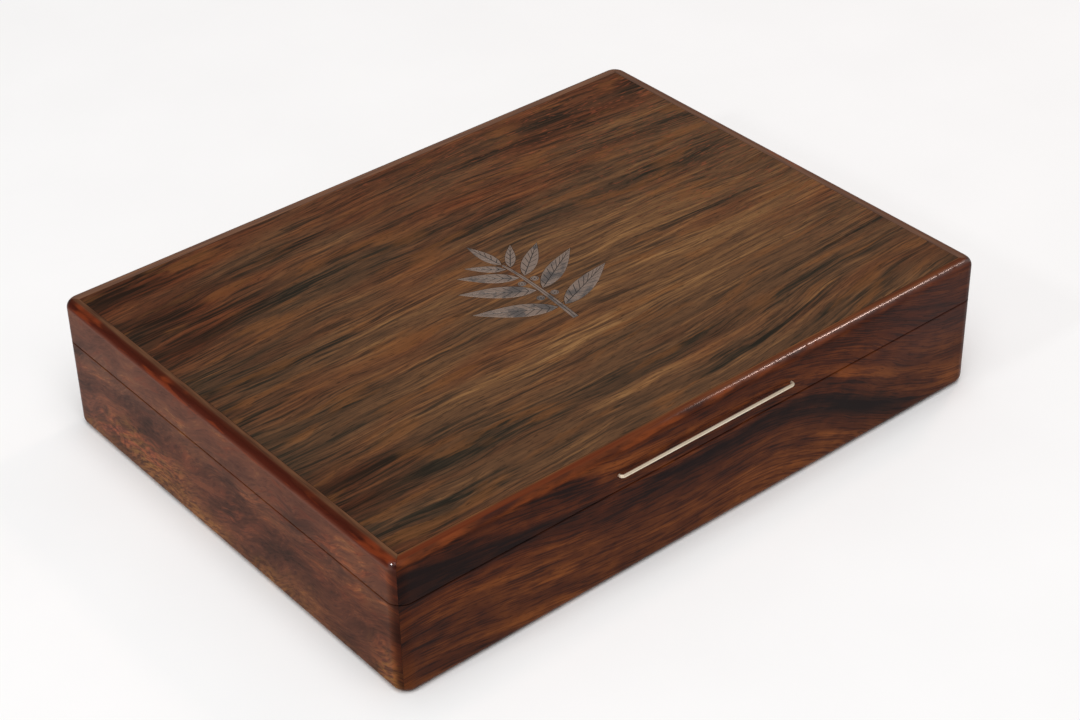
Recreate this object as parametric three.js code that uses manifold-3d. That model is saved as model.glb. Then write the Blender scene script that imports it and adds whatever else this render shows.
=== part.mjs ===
import * as THREE from 'three';
import { mergeVertices } from 'three/addons/utils/BufferGeometryUtils.js';
import Module from 'manifold-3d';

// A hinged rosewood box for papers and keepsakes, closed, in millimetres.
// X runs along the front from left to right, Y from front to back and Z up.
// The origin is the middle of the underside.

// The closed box.
const boxLength = 260;
const boxDepth = 195;
const boxHeight = 53;
const cornerRadius = 5.5;
const topRound = 2.8;
const bottomRound = 3.2;

// The lid is measured from the middle of the seam, which is the gap between base and lid.
const lidHeight = 16.5;
const seamGap = 0.3;
const seamArris = 0.25;

// Mitred walls with a panel let into a rebate. The lip is the wood left outside the rebate.
const wallThickness = 8;
const lidLip = 5;
const lidPanelThickness = 4.5;
const baseLip = 5;
const basePanelThickness = 4;
const panelClearance = 0.1;
const glueLine = 0.06;

// A stopped tongue across each mitre, hidden in the wood.
const tongueWidth = 5;
const tongueThickness = 1.5;
const tongueStop = 3;
const tongueClearance = 0.15;
const tongueDepthShare = 0.55;

// The continuous hinge along the back, with its axis in the seam.
const hingeEndInset = 4;
const axisInset = 1.8;
const barrelRadius = 1.6;
const pinRadius = 0.85;
const pinClearance = 0.1;
const knuckleCount = 19;
const knuckleGap = 0.3;
const leafThickness = 0.8;
const leafInnerInset = 0.1;
const runningGap = 0.3;
const openDegrees = 100;
const stopDegrees = 0.5;

// Slotted countersunk screws, the same number in each hinge leaf.
const screwCount = 7;
const screwEndInset = 9;
const screwLength = 7;
const screwShankRadius = 0.7;
const screwHeadRadius = 1.4;
const screwHeadDepth = 0.65;
const screwHeadEdge = 0.12;
const screwHeadSink = 0.05;
const screwSlotWidth = 0.36;
const screwSlotDepth = 0.3;
const screwPointLength = 1.6;
const screwClearance = 0.08;

// The lift bar on the lid's front: a bent rod with both ends let into the wall.
const barLength = 78.8;
const barX = -1.6;
const barRadius = 0.6;
const barStandOff = 1.35;
const barBendRadius = 1.2;
const barLegDepth = 5;
const barAboveSeam = 6.2;
const barClearance = 0.1;

// A sprig of silver leaves and berries let into the lid panel.
const sprigX = 0;
const sprigFrontY = -31;
const sprigHeight = 60;
const sprigBow = 1.5;
const inlayThickness = 0.9;
const inlayClearance = 0.1;
const stemWidth = 2.2;
const stemTipWidth = 0.9;
const leafWidthShare = 0.26;
const leafWidestPower = 0.75;
const leafStandOff = 0.5;
const tipLeafShare = 0.3;
const berryRadius = 1.5;
const berryStandOff = 0.6;
const leafPairShares = [
  { along: 0.15, length: 0.5 },
  { along: 0.41, length: 0.46 },
  { along: 0.66, length: 0.37 },
  { along: 0.89, length: 0.25 },
];
const leafPairDegrees = [64, 58, 51, 43];
const berryAlongShares = [0.31, 0.565];

// How finely the round faces are divided.
const cornerSegments = 12;
const roundSegments = 7;
const barrelSegments = 16;
const boreSegments = 12;
const screwSegments = 12;
const barSegments = 12;
const bendSegments = 6;
const leafSegments = 12;
const stemSegments = 8;
const berrySegments = 20;

// Cutters run this far past the faces that they cut.
const overrun = 2;

const rosewood = { color: 0x4a2418, roughness: 0.28, metalness: 0 };
const rosewoodPanel = { color: 0x5f4128, roughness: 0.3, metalness: 0 };
const plywood = { color: 0x8a6a45, roughness: 0.6, metalness: 0 };
const beech = { color: 0xb08a5c, roughness: 0.7, metalness: 0 };
const brass = { color: 0xb08d4a, roughness: 0.35, metalness: 1 };
const silver = { color: 0xd6cab0, roughness: 0.25, metalness: 1 };
const tarnishedSilver = { color: 0x7c726a, roughness: 0.4, metalness: 1 };

const seamHeight = boxHeight - lidHeight;
const barHeight = seamHeight + barAboveSeam;
const baseRim = seamHeight - seamGap / 2;
const lidRim = seamHeight + seamGap / 2;
const axisY = boxDepth / 2 - axisInset;
const hingeLength = boxLength - 2 * hingeEndInset;
const boreRadius = pinRadius + pinClearance;
const barrelRoom = barrelRadius + runningGap;
const leafReach = wallThickness - axisInset - leafInnerInset;
const screwReach = (barrelRoom + leafReach) / 2;

const wasm = await Module();
wasm.setup();

// A closed geometry with its shared vertices merged, as a solid that can be joined and cut.
function toSolid(source) {
  const bare = source.clone();
  for (const name of Object.keys(bare.attributes)) {
    if (name !== 'position') {
      bare.deleteAttribute(name);
    }
  }
  const merged = mergeVertices(bare);
  const index = merged.index.array;
  const triangles = [];
  for (let i = 0; i < index.length; i += 3) {
    const [a, b, c] = index.slice(i, i + 3);
    if (a !== b && b !== c && c !== a) {
      triangles.push(a, b, c);
    }
  }
  return new wasm.Manifold(new wasm.Mesh({
    numProp: 3,
    vertProperties: merged.attributes.position.array,
    triVerts: Uint32Array.from(triangles),
  }));
}

function toGeometry(solid) {
  const { vertProperties, triVerts } = solid.getMesh();
  const geometry = new THREE.BufferGeometry();
  geometry.setAttribute('position', new THREE.BufferAttribute(Float32Array.from(vertProperties), 3));
  geometry.setIndex(new THREE.BufferAttribute(Uint32Array.from(triVerts), 1));
  geometry.computeVertexNormals();
  return geometry;
}

function join(solids) {
  return solids.reduce((whole, solid) => whole.add(solid));
}

function cut(solid, cutters) {
  return cutters.reduce((left, cutter) => left.subtract(cutter), solid);
}

function makePiece(name, geometry, finish) {
  const mesh = new THREE.Mesh(geometry, new THREE.MeshStandardMaterial(finish));
  mesh.name = name;
  return mesh;
}

// A box given by its lowest and highest corners.
function blockBetween(low, high) {
  const size = high.map((value, i) => value - low[i]);
  const block = new THREE.BoxGeometry(...size);
  return block.translate(...high.map((value, i) => (value + low[i]) / 2));
}

// A box centred on the Z axis.
function centredBlock(length, depth, low, high) {
  return blockBetween([-length / 2, -depth / 2, low], [length / 2, depth / 2, high]);
}

function roundedRectangle(length, depth, radius) {
  const quarterTurn = Math.PI / 2;
  const x = length / 2 - radius;
  const y = depth / 2 - radius;
  const centres = [[x, y], [-x, y], [-x, -y], [x, -y]];
  const outline = new THREE.Shape();
  centres.forEach(([centreX, centreY], i) => {
    outline.absarc(centreX, centreY, radius, i * quarterTurn, (i + 1) * quarterTurn);
  });
  return outline;
}

// The outer block of the box, with both ends rounded over by the same amount.
function outerBlock(low, high, round, segments) {
  const outline = roundedRectangle(boxLength, boxDepth, cornerRadius);
  const block = new THREE.ExtrudeGeometry(outline, {
    depth: high - low - 2 * round,
    bevelThickness: round,
    bevelSize: round,
    bevelOffset: -round,
    bevelSegments: segments,
    curveSegments: cornerSegments,
  });
  return toSolid(block.translate(0, 0, low + round));
}

// The base keeps the bottom rounding and the lid the top one. The seam has a fine arris.
function makeBaseRing() {
  const rounded = outerBlock(0, baseRim + bottomRound + overrun, bottomRound, roundSegments);
  const seamEnd = outerBlock(-bottomRound - overrun, baseRim, seamArris, 1);
  const innerLength = boxLength - 2 * wallThickness;
  const innerDepth = boxDepth - 2 * wallThickness;
  const room = centredBlock(innerLength, innerDepth, -overrun, boxHeight);
  const rebateLength = boxLength - 2 * baseLip;
  const rebateDepth = boxDepth - 2 * baseLip;
  const rebate = centredBlock(rebateLength, rebateDepth, -overrun, basePanelThickness);
  return cut(rounded.intersect(seamEnd), [toSolid(room), toSolid(rebate)]);
}

function makeLidRing() {
  const rounded = outerBlock(lidRim - topRound - overrun, boxHeight, topRound, roundSegments);
  const seamEnd = outerBlock(lidRim, boxHeight + topRound + overrun, seamArris, 1);
  const innerLength = boxLength - 2 * wallThickness;
  const innerDepth = boxDepth - 2 * wallThickness;
  const top = boxHeight + overrun;
  const room = centredBlock(innerLength, innerDepth, 0, top);
  const rebateLength = boxLength - 2 * lidLip;
  const rebateDepth = boxDepth - 2 * lidLip;
  const rebate = centredBlock(rebateLength, rebateDepth, boxHeight - lidPanelThickness, top);
  return cut(rounded.intersect(seamEnd), [toSolid(room), toSolid(rebate)]);
}

// The hinge is made about its own axis: X along the pin, Y to the back, Z up.
// side is -1 for the leaf on the base and 1 for the leaf in the lid.
function ownKnuckles(side) {
  const pitch = hingeLength / knuckleCount;
  const first = side < 0 ? 0 : 1;
  const knuckles = [];
  for (let i = first; i < knuckleCount; i += 2) {
    const centre = (i + 0.5) * pitch - hingeLength / 2;
    knuckles.push({ low: centre - (pitch - knuckleGap) / 2, high: centre + (pitch - knuckleGap) / 2 });
  }
  return knuckles;
}

function circlePath(radius, segments) {
  const points = [];
  for (let i = 0; i < segments; i += 1) {
    const angle = (i / segments) * 2 * Math.PI;
    points.push(new THREE.Vector2(radius * Math.cos(angle), radius * Math.sin(angle)));
  }
  return points;
}

// A round bar or ring along X.
function barAlongX(low, high, radius, segments, holeRadius = 0) {
  const section = new THREE.Shape(circlePath(radius, segments));
  if (holeRadius > 0) {
    section.holes.push(new THREE.Path(circlePath(holeRadius, boreSegments)));
  }
  const bar = new THREE.ExtrudeGeometry(section, { depth: high - low, bevelEnabled: false });
  return bar.rotateY(Math.PI / 2).translate(low, 0, 0);
}

function leafLevels(side) {
  const levels = [side * (seamGap / 2), side * (seamGap / 2 + leafThickness)];
  return side < 0 ? levels.reverse() : levels;
}

function screwPlaces() {
  const span = hingeLength - 2 * screwEndInset;
  const places = [];
  for (let i = 0; i < screwCount; i += 1) {
    places.push((i / (screwCount - 1) - 0.5) * span);
  }
  return places;
}

// The screw stands on the Z axis with the top of its head at zero and its point down.
function screwProfile(grow, top) {
  return [
    [screwShankRadius + grow, -screwHeadDepth],
    [screwHeadRadius + grow, -screwHeadEdge],
    [screwHeadRadius + grow, top],
    [0, top],
  ].map(([x, y]) => new THREE.Vector2(x, y));
}

function revolve(points) {
  return new THREE.LatheGeometry(points, screwSegments).rotateX(Math.PI / 2);
}

function makeScrewGeometry() {
  const point = [
    new THREE.Vector2(0, -screwLength),
    new THREE.Vector2(screwShankRadius, screwPointLength - screwLength),
  ];
  const body = revolve([...point, ...screwProfile(0, 0)]);
  const slot = blockBetween(
    [-screwHeadRadius - overrun, -screwSlotWidth / 2, -screwSlotDepth],
    [screwHeadRadius + overrun, screwSlotWidth / 2, overrun],
  );
  return toGeometry(cut(toSolid(body), [toSolid(slot)]));
}

// The room that a screw needs: its countersink and a pilot hole.
function screwRoom(depth) {
  const bottom = -depth - screwClearance;
  const pilot = [
    new THREE.Vector2(0, bottom),
    new THREE.Vector2(screwShankRadius + screwClearance, bottom),
  ];
  return revolve([...pilot, ...screwProfile(screwClearance, overrun)]);
}

// A screw goes down into the base, or is turned over and goes up into the lid.
function placeAtScrew(object, side, x) {
  const level = side * (seamGap / 2 + screwHeadSink);
  if (side > 0) {
    object.rotateX(Math.PI);
  }
  return { x, y: -screwReach, z: level, object };
}

function screwCutters(side, depth) {
  return screwPlaces().map((place) => {
    const { x, y, z, object } = placeAtScrew(screwRoom(depth), side, place);
    return toSolid(object.translate(x, y, z));
  });
}

function makeHingeLeaf(side) {
  const [low, high] = leafLevels(side);
  const halfLength = hingeLength / 2;
  const plate = blockBetween([-halfLength, -leafReach, low], [halfLength, -barrelRoom, high]);
  const neckEnd = (barrelRadius + boreRadius) / 2;
  const neckStart = barrelRoom + leafThickness;
  const parts = [toSolid(plate)];
  for (const knuckle of ownKnuckles(side)) {
    const ring = barAlongX(knuckle.low, knuckle.high, barrelRadius, barrelSegments, boreRadius);
    const neck = blockBetween([knuckle.low, -neckStart, low], [knuckle.high, -neckEnd, high]);
    parts.push(toSolid(ring), toSolid(neck));
  }
  return cut(join(parts), screwCutters(side, screwLength));
}

// What the hinge takes out of a ring: the barrel's channel, the bevels that stop
// the lid, the rebate for the leaf and the screw holes.
function hingeCutters(side) {
  const half = hingeLength / 2 + runningGap;
  const channel = barAlongX(-half, half, barrelRoom, barrelSegments);
  const reach = axisInset + overrun;
  const rise = reach * Math.tan(THREE.MathUtils.degToRad(openDegrees / 2 + stopDegrees));
  const bevel = new THREE.Shape([
    new THREE.Vector2(0, 0),
    new THREE.Vector2(reach, -rise),
    new THREE.Vector2(reach, rise),
  ]);
  const groove = new THREE.ExtrudeGeometry(bevel, { depth: boxLength + 2 * overrun, bevelEnabled: false });
  groove.translate(0, 0, -boxLength / 2 - overrun);
  groove.applyMatrix4(new THREE.Matrix4().makeBasis(
    new THREE.Vector3(0, 1, 0),
    new THREE.Vector3(0, 0, 1),
    new THREE.Vector3(1, 0, 0),
  ));
  const [low, high] = leafLevels(side);
  const inner = wallThickness - axisInset + overrun;
  const edges = side < 0 ? [low, 0] : [0, high];
  const rebate = blockBetween([-half, -inner, edges[0]], [half, 0, edges[1]]);
  const solids = [channel, groove, rebate].map(toSolid);
  return [...solids, ...screwCutters(side, screwLength)];
}

function moveToHinge(solid) {
  return toSolid(toGeometry(solid).translate(0, axisY, seamHeight));
}

// The lift bar's path. Even steps fall on the leg ends and along the two bends.
class StaplePath extends THREE.Curve {
  station(share) {
    const last = 2 * bendSegments + 3;
    const i = Math.round(share * last);
    const side = 2 * i < last ? -1 : 1;
    const fromEnd = side < 0 ? i : last - i;
    const legX = barLength / 2 - barRadius;
    if (fromEnd === 0) {
      return { x: side * legX, y: barLegDepth, heading: 0, side };
    }
    const angle = ((fromEnd - 1) / bendSegments) * (Math.PI / 2);
    const x = legX - barBendRadius + barBendRadius * Math.cos(angle);
    const y = barBendRadius - barStandOff - barBendRadius * Math.sin(angle);
    return { x: side * x, y, heading: angle, side };
  }

  getPoint(share, target = new THREE.Vector3()) {
    const { x, y } = this.station(share);
    return target.set(x, y, 0);
  }

  getTangent(share, target = new THREE.Vector3()) {
    const { heading, side } = this.station(share);
    return target.set(Math.sin(heading), side * Math.cos(heading), 0);
  }

  getPointAt(share, target) {
    return this.getPoint(share, target);
  }

  getTangentAt(share, target) {
    return this.getTangent(share, target);
  }
}

function makeLiftBar() {
  return new THREE.ExtrudeGeometry(new THREE.Shape(circlePath(barRadius, barSegments)), {
    steps: 2 * bendSegments + 3,
    extrudePath: new StaplePath(),
  });
}

// The holes in the lid's front wall that take the bar's legs.
function barHoles() {
  const depth = barLegDepth + barClearance + overrun;
  return [-1, 1].map((side) => {
    const hole = new THREE.CylinderGeometry(
      barRadius + barClearance,
      barRadius + barClearance,
      depth,
      barSegments,
    );
    const y = -boxDepth / 2 - overrun + depth / 2;
    const x = barX + side * (barLength / 2 - barRadius);
    return toSolid(hole.translate(x, y, barHeight));
  });
}

// Each mitre joins two walls. signs say which corner it is, from the box's middle.
const corners = [
  { name: 'front_left', signs: [-1, -1] },
  { name: 'front_right', signs: [1, -1] },
  { name: 'back_right', signs: [1, 1] },
  { name: 'back_left', signs: [-1, 1] },
];

function tongueBlock([signX, signY], low, high, grow) {
  const inset = wallThickness * tongueDepthShare;
  const block = new THREE.BoxGeometry(
    tongueWidth + 2 * grow,
    tongueThickness + 2 * grow,
    high - low + 2 * grow,
  );
  block.rotateZ(-signX * signY * (Math.PI / 4));
  return block.translate(
    signX * (boxLength / 2 - inset),
    signY * (boxDepth / 2 - inset),
    (low + high) / 2,
  );
}

const baseTongue = [basePanelThickness + tongueStop, baseRim - tongueStop];
const lidTongue = [lidRim + tongueStop, boxHeight - lidPanelThickness - tongueStop / 2];

// The wedge of a ring that one wall holds, between the mitres at its two ends.
const sides = [
  { name: 'front', turn: 0, span: boxLength, across: boxDepth },
  { name: 'right', turn: Math.PI / 2, span: boxDepth, across: boxLength },
  { name: 'back', turn: Math.PI, span: boxLength, across: boxDepth },
  { name: 'left', turn: -Math.PI / 2, span: boxDepth, across: boxLength },
];

function mitreWedge({ turn, span, across }) {
  const outer = span / 2 + overrun - glueLine / Math.SQRT2;
  const depth = wallThickness + 2 * overrun;
  const inner = outer - depth;
  const outerY = -across / 2 - overrun;
  const trapezoid = new THREE.Shape([
    new THREE.Vector2(-outer, outerY),
    new THREE.Vector2(outer, outerY),
    new THREE.Vector2(inner, outerY + depth),
    new THREE.Vector2(-inner, outerY + depth),
  ]);
  const wedge = new THREE.ExtrudeGeometry(trapezoid, {
    depth: boxHeight + 2 * overrun,
    bevelEnabled: false,
  });
  return toSolid(wedge.rotateZ(turn).translate(0, 0, -overrun));
}

function makeWalls(prefix, ring, tongueLevels) {
  const slots = corners.map(({ signs }) => toSolid(tongueBlock(signs, ...tongueLevels, tongueClearance)));
  const slotted = cut(ring, slots);
  return sides.map((side) => {
    const wall = slotted.intersect(mitreWedge(side));
    return makePiece(`${prefix}_${side.name}_wall`, toGeometry(wall), rosewood);
  });
}

function makeTongues(prefix, tongueLevels) {
  return corners.map(({ name, signs }) => {
    const tongue = tongueBlock(signs, ...tongueLevels, 0);
    return makePiece(`${prefix}_tongue_${name}`, tongue, beech);
  });
}

function makeScrews(prefix, side, geometry) {
  return screwPlaces().map((place, i) => {
    const screw = makePiece(`${prefix}_hinge_screw_${i + 1}`, geometry, brass);
    const { x, y, z } = placeAtScrew(screw, side, place);
    screw.position.set(x, y, z);
    return screw;
  });
}

// The sprig lies in its own plane, with its stem rising from the front towards the back.
const stemLine = new THREE.QuadraticBezierCurve(
  new THREE.Vector2(-sprigBow, 0),
  new THREE.Vector2(sprigBow, sprigHeight / 2),
  new THREE.Vector2(0, sprigHeight * (1 - tipLeafShare)),
);

function stemHalfWidth(share) {
  return THREE.MathUtils.lerp(stemWidth, stemTipWidth, share) / 2;
}

// A point beside the stem, on its left for -1 and on its right for 1.
function besideStem(share, side, gap) {
  const middle = stemLine.getPoint(share);
  const tangent = stemLine.getTangent(share);
  const away = stemHalfWidth(share) + gap;
  return new THREE.Vector2(middle.x + side * tangent.y * away, middle.y - side * tangent.x * away);
}

function stemOutline(grow) {
  const right = [];
  const left = [];
  for (let i = 0; i <= stemSegments; i += 1) {
    right.push(besideStem(i / stemSegments, 1, grow));
    left.unshift(besideStem(i / stemSegments, -1, grow));
  }
  right[0].y -= grow;
  left[stemSegments].y -= grow;
  right[stemSegments].y += grow;
  left[0].y += grow;
  return new THREE.Shape([...right, ...left]);
}

// A pointed leaf that starts at the origin and runs along X.
function leafOutline(length, grow) {
  const points = 1 / leafWidthShare;
  const whole = length + 2 * grow * points;
  const halfWidth = (length * leafWidthShare) / 2 + grow;
  const upper = [];
  const lower = [];
  for (let i = 0; i <= leafSegments; i += 1) {
    const share = i / leafSegments;
    const x = whole * share - grow * points;
    const y = halfWidth * Math.sin(Math.PI * share ** leafWidestPower);
    lower.push(new THREE.Vector2(x, -y));
    if (i > 0 && i < leafSegments) {
      upper.unshift(new THREE.Vector2(x, y));
    }
  }
  return new THREE.Shape([...lower, ...upper]);
}

function leafPlaces() {
  const places = [];
  leafPairShares.forEach(({ along, length }, i) => {
    const heading = stemLine.getTangent(along).angle();
    const lean = THREE.MathUtils.degToRad(leafPairDegrees[i]);
    for (const side of [-1, 1]) {
      places.push({
        name: `inlay_leaf_${side < 0 ? 'left' : 'right'}_${i + 1}`,
        length: length * sprigHeight,
        start: besideStem(along, side, leafStandOff),
        turn: heading - side * lean,
      });
    }
  });
  const tip = stemLine.getPoint(1);
  const heading = stemLine.getTangent(1);
  places.push({
    name: 'inlay_leaf_tip',
    length: tipLeafShare * sprigHeight - leafStandOff,
    start: tip.addScaledVector(heading, leafStandOff),
    turn: heading.angle(),
  });
  return places;
}

function inlaySlab(outline) {
  const slab = new THREE.ExtrudeGeometry(outline, { depth: inlayThickness, bevelEnabled: false });
  return slab.translate(0, 0, -inlayThickness);
}

// Each inlay piece as its outline, grown by the clearance for its pocket, and its place.
function inlayPieces() {
  const stem = { name: 'inlay_stem', outline: stemOutline, start: new THREE.Vector2(), turn: 0 };
  const leaves = leafPlaces().map(({ name, length, start, turn }) => (
    { name, outline: (grow) => leafOutline(length, grow), start, turn }
  ));
  const berries = [];
  berryAlongShares.forEach((along, i) => {
    for (const side of [-1, 1]) {
      berries.push({
        name: `inlay_berry_${side < 0 ? 'left' : 'right'}_${i + 1}`,
        outline: (grow) => new THREE.Shape(circlePath(berryRadius + grow, berrySegments)),
        start: besideStem(along, side, berryStandOff + berryRadius),
        turn: 0,
      });
    }
  });
  return [stem, ...leaves, ...berries];
}

function makeLidPanel(inlays) {
  const clear = 2 * (lidLip + panelClearance);
  const low = boxHeight - lidPanelThickness;
  const board = centredBlock(boxLength - clear, boxDepth - clear, low, boxHeight);
  const pockets = inlays.map(({ outline, start, turn }) => {
    const pocket = new THREE.ExtrudeGeometry(outline(inlayClearance), {
      depth: inlayThickness + overrun,
      bevelEnabled: false,
    });
    pocket.rotateZ(turn);
    pocket.translate(start.x + sprigX, start.y + sprigFrontY, boxHeight - inlayThickness);
    return toSolid(pocket);
  });
  return toGeometry(cut(toSolid(board), pockets));
}

function makeBasePanel() {
  const clear = 2 * (baseLip + panelClearance);
  return centredBlock(boxLength - clear, boxDepth - clear, 0, basePanelThickness);
}

function makeInlays(inlays) {
  const group = new THREE.Group();
  group.position.set(sprigX, sprigFrontY, boxHeight);
  for (const { name, outline, start, turn } of inlays) {
    const mesh = makePiece(name, inlaySlab(outline(0)), tarnishedSilver);
    mesh.position.set(start.x, start.y, 0);
    mesh.rotation.z = turn;
    group.add(mesh);
  }
  return group;
}

function makeHinge(screwGeometry) {
  const group = new THREE.Group();
  group.position.set(0, axisY, seamHeight);
  const pinHalf = hingeLength / 2;
  group.add(
    makePiece('hinge_leaf_base', toGeometry(makeHingeLeaf(-1)), brass),
    makePiece('hinge_leaf_lid', toGeometry(makeHingeLeaf(1)), brass),
    makePiece('hinge_pin', barAlongX(-pinHalf, pinHalf, pinRadius, boreSegments), brass),
    ...makeScrews('base', -1, screwGeometry),
    ...makeScrews('lid', 1, screwGeometry),
  );
  return group;
}

const baseRing = cut(makeBaseRing(), hingeCutters(-1).map(moveToHinge));
const lidRing = cut(makeLidRing(), [...hingeCutters(1).map(moveToHinge), ...barHoles()]);
const sprig = inlayPieces();

const base = new THREE.Group();
base.add(
  ...makeWalls('base', baseRing, baseTongue),
  ...makeTongues('base', baseTongue),
  makePiece('base_panel', makeBasePanel(), plywood),
);

const liftBar = makePiece('lift_bar', makeLiftBar(), silver);
liftBar.position.set(barX, -boxDepth / 2, barHeight);

const lid = new THREE.Group();
lid.add(
  ...makeWalls('lid', lidRing, lidTongue),
  ...makeTongues('lid', lidTongue),
  makePiece('lid_panel', makeLidPanel(sprig), rosewoodPanel),
  makeInlays(sprig),
  liftBar,
);

const box = new THREE.Group();
box.add(base, lid, makeHinge(makeScrewGeometry()));

export default box;
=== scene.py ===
# %% [markdown]
# # A flat rosewood box for papers and keepsakes
# The box is closed. It is about as big as a sheet of writing paper, and it stands on white
# paper under four lamps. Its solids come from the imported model, and this lesson dresses
# them: lacquered rosewood for the walls and the lid, an engraved silver sprig let into the
# lid, a silver lift bar in front and a brass hinge along the back.

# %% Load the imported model
import math

import bmesh
import bpy
from mathutils import Matrix, Vector


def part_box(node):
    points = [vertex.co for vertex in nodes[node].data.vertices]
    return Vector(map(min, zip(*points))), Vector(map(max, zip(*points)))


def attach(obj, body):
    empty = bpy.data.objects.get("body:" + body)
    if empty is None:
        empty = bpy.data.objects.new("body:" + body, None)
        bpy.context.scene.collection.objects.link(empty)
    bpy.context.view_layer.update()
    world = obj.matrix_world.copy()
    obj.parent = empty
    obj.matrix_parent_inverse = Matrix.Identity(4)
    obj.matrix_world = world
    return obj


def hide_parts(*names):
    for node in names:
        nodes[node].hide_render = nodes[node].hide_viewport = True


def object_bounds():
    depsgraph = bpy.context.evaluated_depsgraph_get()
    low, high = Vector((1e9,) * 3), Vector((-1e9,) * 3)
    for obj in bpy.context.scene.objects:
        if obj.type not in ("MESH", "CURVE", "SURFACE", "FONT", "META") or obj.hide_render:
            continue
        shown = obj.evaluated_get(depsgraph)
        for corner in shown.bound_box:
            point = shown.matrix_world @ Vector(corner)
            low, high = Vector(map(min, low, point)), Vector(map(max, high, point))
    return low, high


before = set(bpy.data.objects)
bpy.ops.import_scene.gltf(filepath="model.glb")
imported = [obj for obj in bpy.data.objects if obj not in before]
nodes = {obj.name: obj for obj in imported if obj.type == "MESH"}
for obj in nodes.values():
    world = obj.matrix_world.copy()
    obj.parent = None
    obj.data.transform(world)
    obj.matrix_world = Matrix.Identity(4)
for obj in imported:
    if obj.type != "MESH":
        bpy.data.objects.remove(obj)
cad_box = [list(corner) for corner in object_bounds()]
print("box in metres:", [[round(value, 4) for value in corner] for corner in cad_box])

# %% [markdown]
# Patterns of wood are easier to think about in millimetres, while Blender works in metres.
# The sizes that the patterns need are measured from the nodes, so they always fit the box.

# %% Measure the box
MM = 0.001
PER_METRE = 1 / MM

_, base_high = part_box("base_front_wall")
lid_low, lid_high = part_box("lid_left_wall")
_, panel_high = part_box("lid_panel")
half_length = cad_box[1][0] * PER_METRE
half_depth = cad_box[1][1] * PER_METRE
top_level = lid_high.z * PER_METRE
seam_level = (base_high.z + lid_low.z) / 2 * PER_METRE
print(f"half length {half_length:.1f}, half depth {half_depth:.1f} mm")
print(f"top {top_level:.1f}, seam {seam_level:.1f} mm")

# %% [markdown]
# ## The studio
# The camera stands in front of the left corner and looks down on the box. It turns about
# the origin by an azimuth and an elevation, with a slight roll, and is then slid aside
# a little, just as a photographer reframes without turning the camera.

# %% Place the camera
# Angles are in degrees, distances in metres, and the lens and its sensor in millimetres.
AZIMUTH = -39.1746
ELEVATION = 35.1575
ROLL = -1.2307
DISTANCE = 0.87343
ASIDE = 0.00536
RISE = 0.0144
LENS = 79.535
SENSOR_WIDTH = 36

turn = (
    Matrix.Rotation(math.radians(AZIMUTH), 4, "Z")
    @ Matrix.Rotation(math.radians(90 - ELEVATION), 4, "X")
    @ Matrix.Rotation(math.radians(ROLL), 4, "Z")
)
camera = bpy.data.objects.new("camera", bpy.data.cameras.new("camera"))
camera.data.lens = LENS
camera.data.sensor_width = SENSOR_WIDTH
camera.matrix_world = Matrix.Translation(turn @ Vector((ASIDE, RISE, DISTANCE))) @ turn
bpy.context.scene.collection.objects.link(camera)
bpy.context.scene.camera = camera
bpy.context.scene.view_settings.view_transform = "Standard"
print("camera at", [round(value, 3) for value in camera.matrix_world.translation])

# %% [markdown]
# Four lamps light the box. Two wide ones hang high above, a strong one before the box and
# a weak one right over it, so that the paper is evenly white and stays bright beside the
# front and left walls. A small one at the left makes the dot of light on the corner, and
# one at the right draws the bright line along the front edge of the lid. The world fills
# the shadows with an even grey.

# %% Hang the lamps
SCENE_CENTRE = Vector((0, 0, 0.03))
PINK_LIGHT = (1, 0.7, 0.6)


def hang_lamp(name, direction, distance, side, power):
    """A square lamp that faces the box: distance and side in metres, power in watts."""
    lamp = bpy.data.objects.new(name, bpy.data.lights.new(name, "AREA"))
    lamp.data.shape = "SQUARE"
    lamp.data.size = side
    lamp.data.energy = power
    away = Vector(direction).normalized()
    place = Matrix.Translation(SCENE_CENTRE + away * distance)
    lamp.matrix_world = place @ away.to_track_quat("Z", "Y").to_matrix().to_4x4()
    bpy.context.scene.collection.objects.link(lamp)
    print(name, "hangs", round(lamp.matrix_world.translation.z, 2), "m up")
    return lamp


hang_lamp("front_lamp", direction=(-0.3, -0.42, 1), distance=5, side=4, power=164)
hang_lamp("top_lamp", direction=(0.04, 0.06, 1), distance=5, side=2, power=48)
hang_lamp("left_lamp", direction=(-0.78, -0.03, 0.63), distance=1.2, side=0.1, power=1.2)
right_lamp = hang_lamp(
    "right_lamp", direction=(0.8, 0.18, 0.93), distance=1.24, side=0.12, power=0.9,
)
right_lamp.data.color = PINK_LIGHT

WORLD_GREY = 0.255
world = bpy.data.worlds.new("studio")
world.use_nodes = True
background = world.node_tree.nodes["Background"]
background.inputs["Color"].default_value = (1, 1, 1, 1)
background.inputs["Strength"].default_value = WORLD_GREY
bpy.context.scene.world = world

# %% [markdown]
# ## Writing a shader as sums
# A wood pattern is long when it is wired by hand. Here one small class stands for
# a socket and lets it take part in sums, so that a pattern reads like arithmetic.

# %% Make sockets that add and multiply


class Field:
    """A value that changes over a surface: one output of a node."""

    def __init__(self, finish, socket):
        self.finish = finish
        self.socket = socket

    def __add__(self, other):
        return self.finish.math("ADD", self, other)

    def __radd__(self, other):
        return self.finish.math("ADD", other, self)

    def __sub__(self, other):
        return self.finish.math("SUBTRACT", self, other)

    def __rsub__(self, other):
        return self.finish.math("SUBTRACT", other, self)

    def __mul__(self, other):
        return self.finish.math("MULTIPLY", self, other)

    def __rmul__(self, other):
        return self.finish.math("MULTIPLY", other, self)

    def __abs__(self):
        return self.finish.math("ABSOLUTE", self)


# %% [markdown]
# A second class is the material being made. Its node method adds any kind of node, and its
# other methods are short names for the nodes that are used most.

# %% Start a material


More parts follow.
